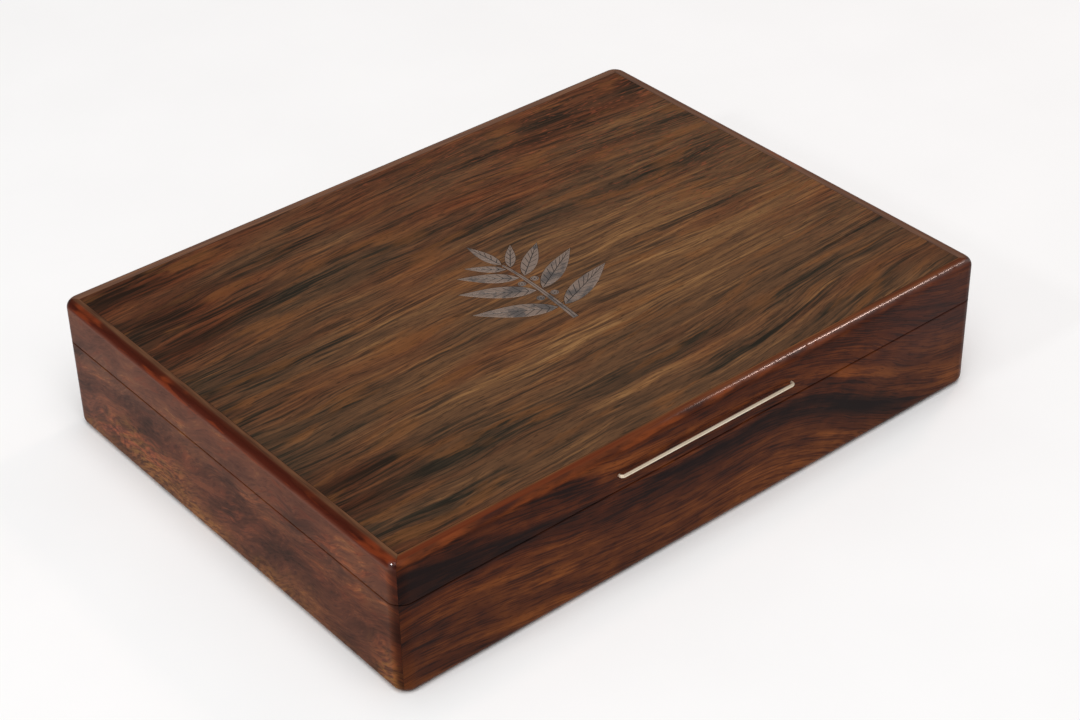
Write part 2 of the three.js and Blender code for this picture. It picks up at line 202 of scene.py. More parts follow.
class Finish:
    """A material in the making."""

    def __init__(self, name):
        self.material = bpy.data.materials.new(name)
        self.material.use_nodes = True
        self.tree = self.material.node_tree
        self.tree.nodes.clear()

    def node(self, kind, settings=None, inputs=None, output=0):
        """Adds a node: first its settings, then the values or links of its sockets."""
        made = self.tree.nodes.new("ShaderNode" + kind)
        for name, value in (settings or {}).items():
            if name == "stops":
                ramp = made.color_ramp
                while len(ramp.elements) < len(value):
                    ramp.elements.new(1)
                for stop, (position, colour) in zip(ramp.elements, value):
                    stop.position = position
                    stop.color = colour
            else:
                setattr(made, name, value)
        for name, value in (inputs or {}).items():
            if isinstance(value, Field):
                self.tree.links.new(value.socket, made.inputs[name])
            else:
                made.inputs[name].default_value = value
        return Field(self, made.outputs[output]) if made.outputs else None

    def math(self, operation, *terms):
        return self.node("Math", {"operation": operation}, dict(enumerate(terms)))

    def vector(self, x, y, z):
        return self.node("CombineXYZ", inputs={"X": x, "Y": y, "Z": z})

    def mix(self, share, first, second):
        """Goes from the first colour to the second as share goes from 0 to 1."""
        inputs = {0: share, 6: first, 7: second}
        return self.node("Mix", {"data_type": "RGBA"}, inputs, output=2)

    def tint(self, share, colour, by):
        """Multiplies a colour by another one, as a glaze does."""
        settings = {"data_type": "RGBA", "blend_type": "MULTIPLY"}
        return self.node("Mix", settings, {0: share, 6: colour, 7: by}, output=2)

    def ramp(self, value, stops):
        return self.node("ValToRGB", {"stops": stops}, {"Fac": value})

    def close(self, **sockets):
        """Ends the material with a Principled shader and the sockets given."""
        inputs = {name.replace("_", " "): value for name, value in sockets.items()}
        shader = self.node("BsdfPrincipled", inputs=inputs)
        self.node("OutputMaterial", inputs={"Surface": shader})
        print(self.material.name, "has", len(self.tree.nodes), "nodes")
        return self.material


# %% [markdown]
# Colours are written as they are picked on a screen, from 0 to 255, and turned into the
# linear values that the shader works with. A screen's curve is straight near black and
# a power above that.

# %% Write colours as they look on a screen
STRAIGHT_END = 0.04045
STRAIGHT_SLOPE = 12.92
CURVE_OFFSET = 0.055
CURVE_POWER = 2.4


def paint(red, green, blue):
    """A colour as picked on a screen, as linear values with an alpha of 1."""
    linear = []
    for value in (red, green, blue):
        share = value / 255
        if share <= STRAIGHT_END:
            linear.append(share / STRAIGHT_SLOPE)
        else:
            linear.append(((share + CURVE_OFFSET) / (1 + CURVE_OFFSET)) ** CURVE_POWER)
    return (*linear, 1)


print("half grey is", round(paint(128, 128, 128)[0], 3), "as a linear value")

# %% [markdown]
# The next functions take plain numbers as well as fields. A grain line can so be worked out
# at one place in Python, and over the whole surface in the shader, by the same words.

# %% Shapes that a pattern is built from


def clamped(value):
    """value, held between 0 and 1."""
    if isinstance(value, Field):
        return value.finish.node("Clamp", inputs={"Value": value})
    return min(max(value, 0), 1)


def ease(value, start, end):
    """0 up to start, 1 from end on, and a soft S between them. start may be above end."""
    share = clamped((value - start) * (1 / (end - start)))
    return share * share * (3 - 2 * share)


def bell(*offsets):
    """1 where all the offsets are zero, fading to nothing past 2."""
    squares = sum(offset * offset for offset in offsets)
    if isinstance(squares, Field):
        return squares.finish.math("POWER", 1 / math.e, squares)
    return math.exp(-squares)


def spread(value, gain):
    """Pulls a noise, which mostly stays near 0.5, apart to the whole way from 0 to 1."""
    return clamped(0.5 + gain * (value - 0.5))


print("bell at 0, 1, 2:", [round(bell(value), 3) for value in (0, 1, 2)])

# %% [markdown]
# ## Rosewood
# Rosewood has streaks of several widths that run along the board and wander a little: broad
# bands, narrower bands and fine lines. Each is a noise that is stretched along the grain.
# Dark and light figures that an eye picks out at once are put on top, one by one, as soft
# ellipses that lie along the grain. All of it sits in the object's own coordinates, so that
# base and lid, which are sawn from one block, share their figure across the seam. The layers
# of the walls lean inwards, so that their grain also runs along the sawn faces of the seam.

# %% Streaks and figures


def place_in_mm(finish):
    """The object's own coordinates, as three fields in millimetres."""
    place = finish.node("TexCoord", output=3)
    scaled = finish.node("VectorMath", {"operation": "SCALE"}, {0: place, "Scale": PER_METRE})
    return [finish.node("SeparateXYZ", inputs={0: scaled}, output=i) for i in range(3)]


def noise(finish, place, scale, detail=2, roughness=0.5):
    """A cloudy value between 0 and 1. The scale says how many clouds fit in one unit."""
    inputs = {"Vector": place, "Scale": scale, "Detail": detail, "Roughness": roughness}
    return finish.node("TexNoise", inputs=inputs)


def streaks(finish, along, across, length, width, seed, detail=2, roughness=0.5):
    """A noise that is stretched along the grain. Each seed gives another pattern."""
    place = finish.vector(along * (1 / length), across * (1 / width), seed)
    return noise(finish, place, 1, detail, roughness)


def figures(finish, along, across, marks):
    """The sum of soft ellipses: (along, across, half length, half width, strength)."""
    total = 0
    place = finish.vector(along, across, 0)
    for mark_along, mark_across, length, width, strength in marks:
        stretch = Vector((1 / length, 1 / width, 0))
        shift = Vector((-mark_along / length, -mark_across / width, 0))
        local = finish.node(
            "VectorMath", {"operation": "MULTIPLY_ADD"}, {0: place, 1: stretch, 2: shift},
        )
        squares = finish.node(
            "VectorMath", {"operation": "DOT_PRODUCT"}, {0: local, 1: local}, output=1,
        )
        fading = finish.math("POWER", 1 / math.e, squares)
        total = finish.math("MULTIPLY_ADD", fading, strength, total)
    return total


def along_grain(marks, grain):
    """The same marks, each with the grain line it lies on in place of its height."""
    return [(along, grain(along, across), *rest) for along, across, *rest in marks]


# %% [markdown]
# The lid's panel is one straight-grained board. Its grain lines are nearly parallel to the
# front, but they climb at the back left, fall at the back right, and fan out at the front
# right, where the saw came near the heart of the tree. Four wide swellings of the grain
# make them bend so.

# %% Bend the grain of the lid's panel
# Each swelling: middle along and across, half length, half width, and how far it pushes.
panel_swellings = [
    (-150, 62, 100, 45, 9),
    (150, 42, 95, 38, 10),
    (140, -12, 90, 22, 4),
    (128, -104, 78, 42, -24),
    (-150, -75, 60, 30, -3),
]


def panel_grain(x, y):
    """Which grain line a place on the panel lies on, in millimetres from the middle."""
    line = y
    for along, across, length, width, push in panel_swellings:
        line = line + push * bell((x - along) * (1 / length), (y - across) * (1 / width))
    return line


# Dark figures have a strength below zero and light ones above it.
panel_marks = [
    (-113, 83.5, 15, 4.2, -0.4),
    (-111, 61, 17, 3, -0.24),
    (-61, 70.5, 36, 2.2, -0.22),
    (77, 81.7, 15, 4, -0.26),
    (121, 80, 10, 4.5, -0.32),
    (53, 73, 40, 1.6, -0.2),
    (-82, 45.3, 42, 3, -0.22),
    (20, 37.5, 46, 3.2, -0.24),
    (91, 25.4, 36, 4, -0.26),
    (-99, 12.4, 34, 3, -0.24),
    (84, -9.3, 40, 1, -0.42),
    (-99, -19.7, 30, 3, -0.24),
    (-84, -65.6, 44, 4, -0.4),
    (12, -68, 30, 3.4, -0.3),
    (-108, -52.6, 22, 2.6, -0.2),
    (-104, -85.5, 19, 5, -0.26),
    (-30, -81, 14, 2.6, -0.24),
    (44, -80.3, 30, 1.6, -0.36),
    (67, -83.8, 32, 1.6, -0.3),
    (17, -82, 24, 1.5, -0.3),
    (74, -66.4, 26, 2.6, -0.26),
    (105, -56, 24, 1.8, -0.3),
    (110, 5, 20, 4, -0.12),
    (30, -20, 80, 36, 0.09),
    (22, -1, 44, 4.6, 0.18),
    (72, -8, 58, 20, 0.12),
    (-13, -42, 95, 8, 0.14),
    (-60, 9, 26, 2.4, 0.2),
    (-75, -5, 26, 3.6, 0.18),
    (-51, -16, 17, 2.6, 0.18),
    (-101, -76.8, 24, 1.8, 0.24),
    (82, -24, 26, 5, 0.14),
    (-44, 61.8, 32, 2, 0.18),
    (-112, 33, 11, 6, 0.14),
    (-13, -76, 32, 2, 0.2),
    (96, -89, 26, 2.6, 0.2),
    (28, -86, 18, 1.8, 0.18),
    (-84, -92, 44, 3, 0.2),
    (12, -92, 50, 2, 0.08),
    (92, -92, 36, 2, 0.06),
]
print(len(panel_marks), "figures on the panel")

# %% [markdown]
# Two fine things lie over the streaks. Growth rings, cut lengthwise, are thin lines with one
# sharp and one soft side. Pores are short dark dashes along the grain, and the only thing
# that the lacquer hasn't quite filled, so they feed a shallow bump too.

# %% Draw growth lines and pores
GRAIN_BUMP = 0.04 * MM
PORE_LENGTH = 3.4
PORE_WIDTH = 0.3


def growth_lines(finish, along, line, spacing, seed):
    """1 on the sharp side of each growth ring, fading to its other side, and broken up."""
    drift = streaks(finish, along, line, 80, 10, seed)
    presence = streaks(finish, along, line, 34, 1.5 * spacing, seed + 1.7, detail=1)
    ring = finish.math("FRACT", line * (1 / spacing) + 4 * (drift - 0.5))
    return ease(ring, 0.4, 0) * ease(ring, 0, 0.06) * ease(presence, 0.42, 0.6)


def pores(finish, along, across, seed):
    """1 in a pore and 0 beside it."""
    dashes = streaks(finish, along, across, PORE_LENGTH, PORE_WIDTH, seed, detail=0)
    return ease(dashes, 0.64, 0.74)


def shallow_bump(finish, height, strength=0.35):
    """Turns a height from 0 to 1 into a Normal."""
    inputs = {"Strength": strength, "Distance": GRAIN_BUMP, "Height": height}
    return finish.node("Bump", inputs=inputs)


# %% [markdown]
# The tone of the wood runs from black streaks through brown to golden ones, and a ramp gives
# each tone its colour. Where the wood is dark, fine dark threads crowd together, and where
# it is light, pale ones do. Ragged clouds keep the streaks from looking combed. Redder wood
# lies along the left and the back, orange patches follow the grain, and small red flecks
# grow thicker towards the back right.

# %% Make the panel's rosewood


def make_panel_rosewood():
    """Rosewood for the lid's panel, with the grain along X."""
    finish = Finish("rosewood_top")
    x, y, _ = place_in_mm(finish)
    wander = streaks(finish, x, y, 80, 26, 3.1)
    wave = streaks(finish, x, y, 26, 9, 5.7)
    line = panel_grain(x, y) + 9.5 * (wander - 0.5) + 2.4 * (wave - 0.5)
    wide = streaks(finish, x, line, 130, 24, 7.9, detail=1)
    broad = streaks(finish, x, line, 90, 9, 11.3)
    narrow = streaks(finish, x, line, 50, 2.8, 17.9, detail=1)
    threads = streaks(finish, x, line, 28, 1.1, 23.7, detail=1)
    hairs = streaks(finish, x, line, 10, 0.5, 29.3, detail=0)
    mottle = streaks(finish, x, line, 12, 2.6, 33.1, detail=3, roughness=0.6)
    crowd = ease(streaks(finish, x, line, 36, 9, 37.9, detail=1), 0.36, 0.6)
    ragged = line + 6 * (narrow - 0.5) + 5 * (mottle - 0.5)
    feathered = x + 40 * (threads - 0.5) + 24 * (mottle - 0.5)
    marks = along_grain(panel_marks, panel_grain)
    base = (
        0.24 * (wide - 0.5)
        + 0.44 * (broad - 0.5)
        + 0.16 * (narrow - 0.5)
        + 0.88 * figures(finish, feathered, ragged, marks)
        - 0.14 * ease(x, -60, -130)
        - 0.05 * ease(x, -118, -124)
    )
    dark = clamped(-2.6 * base)
    light = clamped(2.6 * base)
    tone = (
        0.545
        + 0.9 * base
        + 0.25 * (mottle - 0.5)
        - (0.06 + 0.16 * crowd + 0.1 * dark) * ease(threads - 0.05 * dark, 0.46, 0.38)
        + (0.04 + 0.12 * crowd + 0.08 * light) * ease(threads + 0.05 * light, 0.56, 0.64)
        - 0.14 * growth_lines(finish, x, line, 2.3, 61.3)
        - 0.08 * growth_lines(finish, x, line, 5.1, 67.9)
        - 0.12 * ease(hairs, 0.44, 0.34)
    )
    colour = finish.ramp(tone, [
        (0.0, paint(36, 32, 25)),
        (0.2, paint(51, 42, 32)),
        (0.42, paint(77, 55, 39)),
        (0.62, paint(100, 70, 47)),
        (0.8, paint(121, 86, 54)),
        (1.0, paint(146, 107, 68)),
    ])
    redness = streaks(finish, x, line, 80, 16, 41.2, detail=3)
    redder = ease(x, -60, -135) * 0.4 + ease(y, 20, 95) * 0.5 + 2.7 * (redness - 0.5)
    colour = finish.tint(clamped(redder), colour, paint(255, 200, 182))
    orange = ease(streaks(finish, x, ragged, 34, 6, 43.9, detail=2), 0.53, 0.68)
    colour = finish.mix(0.42 * orange, colour, paint(126, 79, 42))
    fleck = ease(streaks(finish, x, line, 5, 0.7, 45.1, detail=1), 0.6, 0.7)
    colour = finish.mix(0.5 * fleck * ease(x + y, 0, 140), colour, paint(140, 74, 48))
    pore = pores(finish, x, line, 47.7)
    colour = finish.mix(0.5 * pore, colour, paint(34, 26, 20))
    height = 0.5 * threads - 0.6 * pore
    return finish.close(
        Base_Color=colour,
        Roughness=0.34 + 0.16 * (1 - tone) + 0.1 * pore,
        Specular_IOR_Level=0.06,
        Normal=shallow_bump(finish, height),
    )


rosewood_top = make_panel_rosewood()

# %% [markdown]
# The front is a slice of the same log with a bold figure: a near-black band starts on the
# lid at the left, dips under the seam, runs level and then plunges to the lower right. One
# curve describes the band, and the streaks beside it follow it.

# %% Place the front's figures


def front_band(x):
    """How high the dark band of the front runs at x."""
    return 44 - 13 * ease(x, -130, -10) - 36 * ease(x, 20, 130)


def front_grain(x, z):
    """Which grain line a place on the front lies on, in millimetres above the band."""
    return z - front_band(x)


front_marks = [
    (60, 22, 48, 4.4, -0.5),
    (-14, 29, 32, 4.4, -0.36),
    (-118, 43, 42, 6, -0.42),
    (85, 24, 40, 2.2, 0.3),
    (112, 30, 30, 3, 0.1),
    (60, 10, 30, 1.6, 0.26),
    (20, 9, 42, 7, 0.2),
    (-85, 25, 28, 2.6, 0.2),
    (-60, 17, 28, 2.4, 0.2),
    (-95, 9, 30, 3, 0.16),
    (-76, 21, 22, 1.5, -0.12),
    (-112, 14, 16, 3, -0.16),
    (10, 47, 60, 2.4, 0.12),
    (-50, 48, 40, 2.6, 0.04),
    (-90, 51, 60, 2, -0.16),
    (-38, 47, 14, 3, 0.24),
    (-80, 41, 26, 3, -0.2),
    (-104, 32, 20, 2.4, 0.1),
    (-50, 22, 22, 3, 0.1),
    (-84, 22, 40, 5, 0.12),
    (-20, 44, 26, 3, 0.26),
    (-66, 30, 16, 3, 0.2),
    (90, 45, 40, 5, -0.14),
    (122, 8, 14, 4, 0.2),
]
print(len(front_marks), "figures on the front")

# %% [markdown]
# The rounded edges and the narrow lip round the panel show the wood cut another way, and they
# carry painted reflections, so they get colours of their own. Each is found by its place: a
# share that is 1 on it and fades to 0 beside it. The upright corners are painted dimmer, as a
# painted reflection of the dark room. Two small lamps are mirrored as a line of light along
# the front edge and as a dot on the front left corner. A coat of polish shows them, and its
# thickness draws their shape.

# %% Find the edges, the lip and the polish
TOP_ROUND = 2.8
CORNER_FADE = (5, 2)
HIGHLIGHT_INSET = 2.1
DOT_PLACE = (-128.7, -94, 51.9)
DOT_RADIUS = 0.8
LINE_POLISH = {"Coat Roughness": 0.24, "Coat IOR": 2.4}
DOT_POLISH = {"Coat Roughness": 0.12, "Coat IOR": 2.4}


def lip_share(z):
    """1 on the flat top of the lid's walls and 0 below it."""
    return ease(z, top_level - 0.12, top_level - 0.02)


def edge_share(z):
    """1 on the rounded upper edge and above it."""
    return ease(z, top_level - TOP_ROUND - 0.4, top_level - TOP_ROUND + 0.5)


def corner_share(x, y):
    """1 on the rounded upright corners."""
    from_ends = half_length - abs(x)
    from_sides = half_depth - abs(y)
    return ease(from_ends, *CORNER_FADE) * ease(from_sides, *CORNER_FADE)


def line_gloss(finish, x, y, z):
    """How thick the polish lies on a long wall: full along the line of light."""
    speckle = noise(finish, finish.vector(x, y, z), 0.4, detail=1)
    inset = y + half_depth - HIGHLIGHT_INSET + 0.6 * (speckle - 0.5)
    line = ease(x, -30, 30) * bell(inset * 1.4) * ease(z, top_level - 1.2, top_level - 0.6)
    return clamped(line * ease(speckle, 0.24, 0.42))


def dot_gloss(x, y, z):
    """How thick the polish lies on a side wall: full on the dot of light at the corner."""
    pairs = zip((x, y, z), DOT_PLACE)
    return clamped(bell(*[(value - place) * (1 / DOT_RADIUS) for value, place in pairs]))


# %% [markdown]
# On a long wall the rounded edge is banded, and a painted reflection of the room turns it
# greyer towards the right and lighter on the back wall. The flat lip is plainer, but its outer
# edge at the front is red, and on the back wall it has a painted sheen.

# %% Wood for the edge and the lip of a long wall
LONG_RED_INSET = 4.3


def long_edge_wood_and_reflection(finish, x, far_side, bands):
    """Banded wood of a rounded edge, with a painted reflection: greyer at the right, lighter at
    the back.
    """
    wood = finish.ramp(bands, [
        (0.36, paint(60, 34, 28)), (0.5, paint(88, 46, 28)), (0.66, paint(124, 62, 32)),
    ])
    # Painted reflection: the edge turns greyer towards the right, where it mirrors the room.
    wood = finish.mix(0.5 * ease(x, 10, 60), wood, paint(84, 52, 44))
    # Painted sheen: the edge is lighter on the back wall.
    return finish.mix(0.6 * far_side, wood, paint(112, 78, 60))


def long_lip_wood_and_sheen(finish, x, y, far_side, seed):
    """The wood of the flat top, red along the front's outer edge, with a painted sheen at the
    back.
    """
    grain = streaks(finish, x, y, 30, 0.8, seed, detail=2)
    wood = finish.ramp(grain, [(0.34, paint(72, 44, 30)), (0.64, paint(118, 76, 46))])
    # Painted sheen: the lip is lighter on the back wall.
    wood = finish.mix(0.3 * far_side, wood, paint(124, 98, 86))
    outer = ease(half_depth - abs(y), LONG_RED_INSET + 0.5, LONG_RED_INSET - 0.3)
    red = outer * (0.5 + 0.3 * ease(x, 0, -50))
    return finish.mix(red * (1 - far_side), wood, paint(98, 42, 22))


# %% [markdown]
# The whole wall is painted in layers: the body with its streaks and figures and a painted
# sheen at its right end, the rounded edge, the flat lip, and last the corners, painted dimmer
# as a painted dark reflection, and the pores. The body's grain leans, so that each millimetre
# of depth moves it by GRAIN_LEAN millimetres.

# %% Make the front's rosewood
GRAIN_LEAN = 1.2


def make_long_wall_rosewood(name, grain, marks, seed, specular):
    """Rosewood for the front or the back wall, with the grain along X."""
    finish = Finish(name)
    x, y, z = place_in_mm(finish)
    level = z + GRAIN_LEAN * (half_depth - abs(y))
    wander = streaks(finish, x, level, 60, 16, seed)
    line = grain(x, level) + 6 * (wander - 0.5)
    broad = streaks(finish, x, line, 70, 7, seed + 5.1)
    narrow = streaks(finish, x, line, 34, 2.6, seed + 9.7, detail=2)
    mottle = streaks(finish, x, level, 9, 5, seed + 11.3, detail=3)
    hairs = streaks(finish, x, line, 12, 0.6, seed + 13.3, detail=1)
    ragged = line + 5 * (narrow - 0.5) + 3 * (mottle - 0.5)
    calm = 1 - 0.35 * ease(x, 40, 100)
    tone = (
        0.51
        + calm * (0.6 * (broad - 0.5) + 0.6 * (narrow - 0.5) + 0.5 * (mottle - 0.5))
        + figures(finish, x, ragged, along_grain(marks, grain))
        + 0.1 * ease(z, 18, 6)
        - 0.22 * ease(hairs, 0.5, 0.38)
    )
    colour = finish.ramp(tone, [
        (0.0, paint(32, 24, 24)),
        (0.22, paint(48, 30, 25)),
        (0.46, paint(75, 40, 26)),
        (0.7, paint(102, 57, 30)),
        (1.0, paint(138, 80, 38)),
    ])
    colour = finish.tint(0.3 + 0.4 * ease(z, 22, 34), colour, paint(255, 232, 226))
    # Painted sheen: the right end of a long wall is greyed, as a painted reflection of the
    # room.
    painted_sheen_right = 0.24 * ease(x, 60, 110) * ease(z, 16, 30)
    colour = finish.mix(painted_sheen_right, colour, paint(84, 62, 60))
    far_side = ease(y, -10, 10)
    bands = streaks(finish, x, z, 16, 2.2, seed + 17.1, detail=2)
    near_edge = ease(z + 2.4 * (bands - 0.5), top_level - 1.9, top_level - 0.7)
    edge_wood_and_reflection = long_edge_wood_and_reflection(finish, x, far_side, bands)
    colour = finish.mix(0.85 * near_edge, colour, edge_wood_and_reflection)
    lip_wood_and_sheen = long_lip_wood_and_sheen(finish, x, y, far_side, seed + 19.3)
    colour = finish.mix(lip_share(z), colour, lip_wood_and_sheen)
    # Painted dark reflection: the upright corners mirror the dark room, so they are painted
    # dimmer, more on the lid.
    corner_dark_reflection = corner_share(x, y) * (0.15 + 0.25 * ease(z, seam_level - 1, seam_level + 1))
    colour = finish.tint(corner_dark_reflection, colour, paint(170, 150, 150))
    pore = pores(finish, x, line, seed + 21.9) * (1 - lip_share(z))
    colour = finish.mix(0.4 * pore, colour, paint(26, 18, 15))
    return finish.close(
        Base_Color=colour,
        Roughness=0.3 + 0.12 * (1 - tone),
        Specular_IOR_Level=specular,
        Coat_Weight=line_gloss(finish, x, y, z),
        **LINE_POLISH,
        Normal=shallow_bump(finish, 0.5 * hairs - 0.5 * pore),
    )


rosewood_front = make_long_wall_rosewood(
    "rosewood_front", front_grain, front_marks, seed=53.1, specular=0.03,
)

# %% [markdown]
# The back wall is the other face of the same boards, so its band runs differently. It is
# only seen from behind, where a quieter figure does.

# %% Make the back's rosewood


def back_grain(x, z):
    """Which grain line a place on the back lies on, in millimetres above its band."""
    return z - 30 + 16 * ease(x, 120, -40)


back_marks = [
    (30, 24, 70, 4, -0.5),
    (-70, 12, 50, 3.4, -0.4),
    (70, 12, 40, 3, 0.26),
    (-30, 40, 50, 3, 0.24),
    (-95, 30, 30, 2.6, 0.26),
    (95, 44, 32, 3, -0.3),
]
rosewood_back = make_long_wall_rosewood(
    "rosewood_back", back_grain, back_marks, seed=71.7, specular=0.1,
)

# %% [markdown]
# The left and right walls are cut where the grain swirls. They have soft clouds in place of
# streaks, crossed by thin lighter arcs, and they have faded to gold along the bottom. On
# the clouds lie three kinds of figures: light and dark ones, golden ones and red ones.

# %% Place the side walls' figures
left_marks = [
    (80, 38, 26, 10, -0.06),
    (-14, 33, 6, 2, 0.4),
    (-78, 45, 20, 3, 0.2),
    (-88, 38, 9, 2, 0.14),
    (-52, 22, 14, 5, -0.2),
    (-78, 17, 7, 5, -0.24),
    (-78, 30, 13, 5, -0.28),
    (84, 31, 14, 6, -0.12),
    (-22, 11, 14, 5, 0.16),
    (-30, 40, 30, 6, -0.12),
    (20, 26, 24, 5, -0.16),
    (92, 26, 10, 8, -0.12),
]
left_gold = [
    (44, 9, 20, 6, 0.9),
    (62, 16, 9, 5, 0.5),
    (30, 17, 10, 3, 0.4),
    (12, 5, 14, 4, 0.7),
    (-26, 4, 10, 4, 0.6),
    (-46, 8, 14, 6, 0.3),
    (-92, 6, 7, 8, 0.8),
    (84, 4, 10, 4, 0.4),
]
left_red = [
    (54, 15, 26, 6, 0.9),
    (74, 10, 12, 4, 0.6),
    (-84, 45, 13, 5, 0.9),
    (-20, 34, 8, 2, 0.8),
    (-60, 40, 20, 4, 0.4),
    (-90, 12, 6, 8, 0.6),
    (-4, 18, 10, 5, 0.5),
]
right_marks = [
    (40, 40, 30, 6, 0.2),
    (-60, 24, 26, 8, -0.2),
    (10, 14, 20, 5, 0.2),
]
right_gold = [
    (-70, 6, 24, 5, 0.6),
    (60, 8, 22, 6, 0.5),
]
right_red = [
    (30, 18, 26, 6, 0.8),
    (-80, 40, 16, 5, 0.6),
]
print(len(left_marks + left_gold + left_red), "figures on the left wall")

# %% [markdown]
# The rounded upper edges of the side walls are painted deep red with orange patches, because
# they mirror the dark room and show no sheen; this is a painted reflection, paler at their
# foot, where they mirror the paper. The red ends on the lip, before the panel begins.

# %% Wood for the edge and the lip of a side wall
SIDE_RED_INSET = 3.3


def side_edge_wood_and_reflection(finish, y, z, far_side, seed):
    """The wood of a rounded upper edge, from its foot to its top, with a painted reflection."""
    bands = streaks(finish, y, z, 18, 2, seed, detail=2)
    rise = z + 1.6 * (bands - 0.5) - top_level + TOP_ROUND
    # Painted reflection: pale at the foot, where the edge mirrors the paper, deep red at the
    # top, where it mirrors the dark room.
    wood = finish.ramp(rise * (1 / TOP_ROUND), [
        (0.05, paint(116, 72, 58)),
        (0.3, paint(100, 50, 34)),
        (0.6, paint(76, 30, 19)),
        (0.86, paint(62, 23, 13)),
        (1, paint(70, 31, 18)),
    ])
    wood = finish.mix(0.6 * ease(bands, 0.53, 0.66), wood, paint(134, 58, 28))
    # Painted sheen: the edge is lighter on the far wall.
    return finish.mix(0.6 * far_side, wood, paint(112, 80, 62))


def side_lip_wood_and_sheen(finish, x, y, far_side, seed):
    """The wood of the flat top, with its grain along Y and a painted sheen on the far wall."""
    grain = streaks(finish, x, y, 1.2, 18, seed, detail=2)
    wood = finish.ramp(grain, [(0.34, paint(70, 44, 31)), (0.66, paint(106, 72, 50))])
    # Painted sheen: the lip is lighter on the far wall.
    return finish.mix(0.3 * far_side, wood, paint(124, 98, 86))


# %% [markdown]
# The side walls are painted in the same layers. Both ways along the wall are bent by a slow
# noise before the streaks are drawn, and this makes the grain swirl.

# %% Make the side walls' rosewood


def make_side_rosewood(name, seed, marks, gold_marks, red_marks):
    """Rosewood for the left or the right wall, with swirling grain."""
    finish = Finish(name)
    x, y, z = place_in_mm(finish)
    depth = half_length - abs(x)
    level = z + GRAIN_LEAN * depth
    aside = streaks(finish, y, level, 26, 18, seed, detail=1)
    above = streaks(finish, y, level, 24, 16, seed + 1.9, detail=1)
    along = y + 16 * (aside - 0.5)
    slant = level + 0.3 * y + 14 * (above - 0.5)
    broad = streaks(finish, along, slant, 30, 13, seed + 3.3, detail=1)
    narrow = streaks(finish, along, slant, 9, 2.6, seed + 7.9, detail=2)
    flecks = streaks(finish, along, slant, 3, 1, seed + 12.1, detail=2)
    arcs = streaks(finish, along, slant, 40, 7, seed + 15.7, detail=0)
    ragged_y = along + 8 * (narrow - 0.5)
    ragged_z = level + 9 * (narrow - 0.5) + 5 * (flecks - 0.5)
    tone = (
        0.5
        + 1.4 * (broad - 0.5)
        + 0.9 * (narrow - 0.5)
        + 0.25 * (flecks - 0.5)
        + 0.12 * ease(flecks, 0.58, 0.66)
        - 0.12 * ease(flecks, 0.42, 0.34)
        + 0.1 * ease(abs(arcs - 0.5), 0.025, 0)
        + figures(finish, ragged_y, ragged_z, marks)
    )
    colour = finish.ramp(tone, [
        (0.0, paint(52, 30, 21)),
        (0.3, paint(77, 44, 30)),
        (0.55, paint(96, 55, 36)),
        (0.8, paint(115, 69, 42)),
        (1.0, paint(144, 94, 54)),
    ])
    # Painted sheen: the upper part of a side wall is mixed towards a lighter mauve brown, as a
    # painted reflection of the paper.
    colour = finish.mix(0.34 * ease(z, 30, 47), colour, paint(126, 75, 58))
    colour = finish.tint(ease(z, 36, 24), colour, paint(255, 228, 202))
    blush = ease(narrow, 0.54, 0.68) * ease(z, 12, 30)
    colour = finish.tint(0.5 * blush, colour, paint(255, 205, 190))
    gold = clamped(figures(finish, ragged_y, ragged_z, gold_marks) + 0.4 * ease(ragged_z, 6, 0))
    gold_wood = finish.ramp(flecks, [(0.38, paint(100, 58, 30)), (0.62, paint(170, 114, 54))])
    colour = finish.mix(0.8 * gold, colour, gold_wood)
    red = clamped(figures(finish, ragged_y, ragged_z, red_marks)) * ease(narrow, 0.4, 0.58)
    red_wood = finish.ramp(flecks, [(0.38, paint(98, 44, 28)), (0.62, paint(166, 82, 46))])
    colour = finish.mix(0.9 * red, colour, red_wood)
    far_side = ease(x, -10, 10)
    edge_wood_and_reflection = side_edge_wood_and_reflection(finish, y, z, far_side, seed + 17.1)
    colour = finish.mix(edge_share(z), colour, edge_wood_and_reflection)
    lip_wood_and_sheen = side_lip_wood_and_sheen(finish, x, y, far_side, seed + 18.7)
    inner = ease(depth, SIDE_RED_INSET - 0.9, SIDE_RED_INSET + 0.6)
    colour = finish.mix(lip_share(z) * inner, colour, lip_wood_and_sheen)
    # Painted dark reflection: the upright corners are painted dimmer, as they mirror the dark
    # room.
    colour = finish.tint(corner_share(x, y), colour, paint(170, 156, 158))
    pore = pores(finish, along, slant, seed + 19.3) * (1 - lip_share(z))
    colour = finish.mix(0.3 * pore, colour, paint(34, 20, 15))
    return finish.close(
        Base_Color=colour,
        Roughness=0.3 + 0.14 * (1 - clamped(tone)),
        Specular_IOR_Level=0.045,
        Coat_Weight=dot_gloss(x, y, z),
        **DOT_POLISH,
        Normal=shallow_bump(finish, 0.6 * flecks - 0.5 * pore),
    )


rosewood_left = make_side_rosewood("rosewood_left", 5.5, left_marks, left_gold, left_red)
rosewood_right = make_side_rosewood(
    "rosewood_right", 37.5, right_marks, right_gold, right_red,
)

# %% [markdown]
# ## The plain woods and the metals
# The bottom board is a pale oiled board, seen only when the box is open or turned over. The
# tongues in the mitres are bare beech.

# %% Make the plain woods


